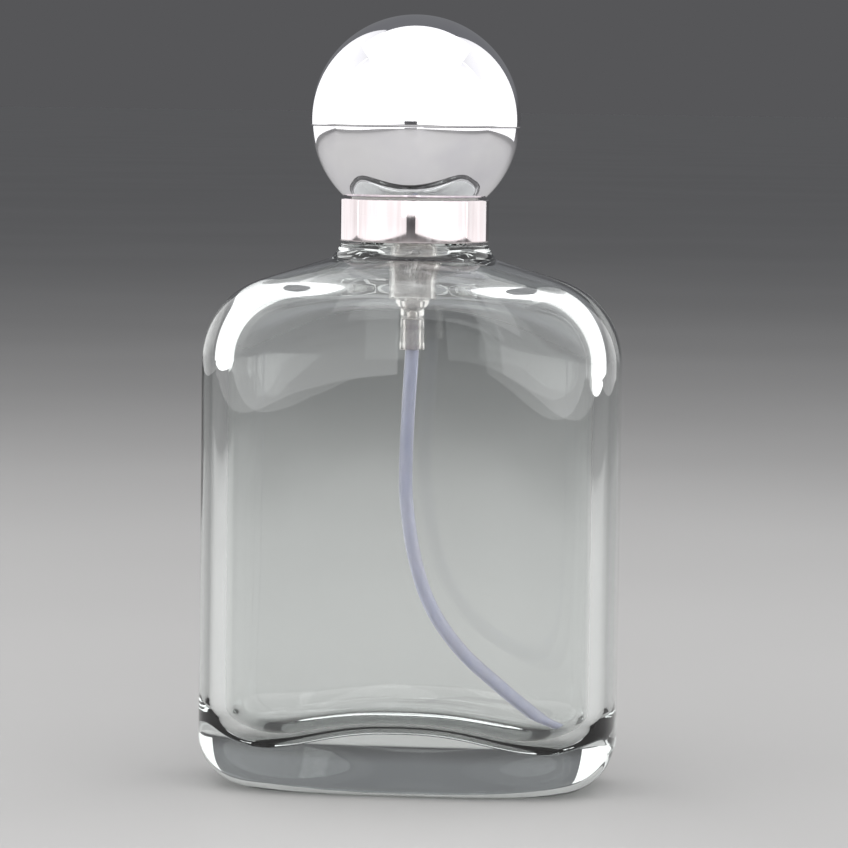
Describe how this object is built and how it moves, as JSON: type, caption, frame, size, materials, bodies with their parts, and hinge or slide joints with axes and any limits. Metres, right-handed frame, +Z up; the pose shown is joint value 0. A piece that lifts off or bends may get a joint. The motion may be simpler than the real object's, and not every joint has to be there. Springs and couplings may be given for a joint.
{
  "type": "aftershave spray bottle",
  "caption": "Flat clear-glass aftershave flask with rounded shoulders, a crimped fine-mist spray pump and dip tube, a bright metal collar and a pull-off ball cap.",
  "frame": {"origin": "middle of the base, on the plane the bottle stands on", "axes": "+Z up the neck, +X along the flask's width, -Y out of the broad front face and the spray nozzle"},
  "size_m": [0.0562, 0.03, 0.1038],
  "materials": {
    "clear_glass": "clear moulded glass with a faint grey-green edge",
    "bright_chrome": "mirror-bright plating",
    "bare_aluminium": "bright rolled",
    "spring_steel": "drawn wire",
    "milky_plastic": "translucent, unpigmented",
    "white_plastic": "satin moulded",
    "soft_seal": "matt"
  },
  "bodies": {
    "flask": {"glass_bottle": "clear_glass", "neck_gasket": "soft_seal", "crimp_ferrule": "bare_aluminium", "collar_ring": "bright_chrome", "collar_insert": "white_plastic", "pump_housing": "milky_plastic", "turret_seal": "soft_seal", "turret_cap": "white_plastic", "dip_tube": "milky_plastic", "return_spring": "spring_steel"},
    "stem": {"stem": "white_plastic", "piston_core": "white_plastic", "valve_spring": "spring_steel"},
    "piston": {"piston": "white_plastic"},
    "actuator": {"actuator_button": "white_plastic", "actuator_sleeve": "bare_aluminium", "nozzle_insert": "white_plastic"},
    "cap": {"cap_upper_shell": "bright_chrome", "cap_lower_shell": "bright_chrome", "cap_liner": "white_plastic"},
    "intake_ball": {"intake_ball": "spring_steel"}
  },
  "joints": [
    {"name": "cap_lift", "type": "slide", "parent": "flask", "child": "cap", "axis": [0, 0, 1], "range_m": [0, 0.045]},
    {"name": "stem_press", "type": "slide", "parent": "flask", "child": "stem", "axis": [0, 0, -1], "range_m": [0, 0.004], "stiffness_N_per_m": 900, "springref_m": -0.003, "deforming": ["return_spring"]},
    {"name": "piston_shift", "type": "slide", "parent": "stem", "child": "piston", "axis": [0, 0, 1], "range_m": [0, 0.0005], "stiffness_N_per_m": 1500, "springref_m": -0.001, "deforming": ["valve_spring"]},
    {"name": "actuator_swivel", "type": "hinge", "parent": "stem", "child": "actuator", "pos_m": [0, 0, 0.0885], "axis": [0, 0, 1], "continuous": true},
    {"name": "intake_ball_lift", "type": "slide", "parent": "flask", "child": "intake_ball", "axis": [0, 0, 1], "range_m": [0, 0.001]}
  ]
}
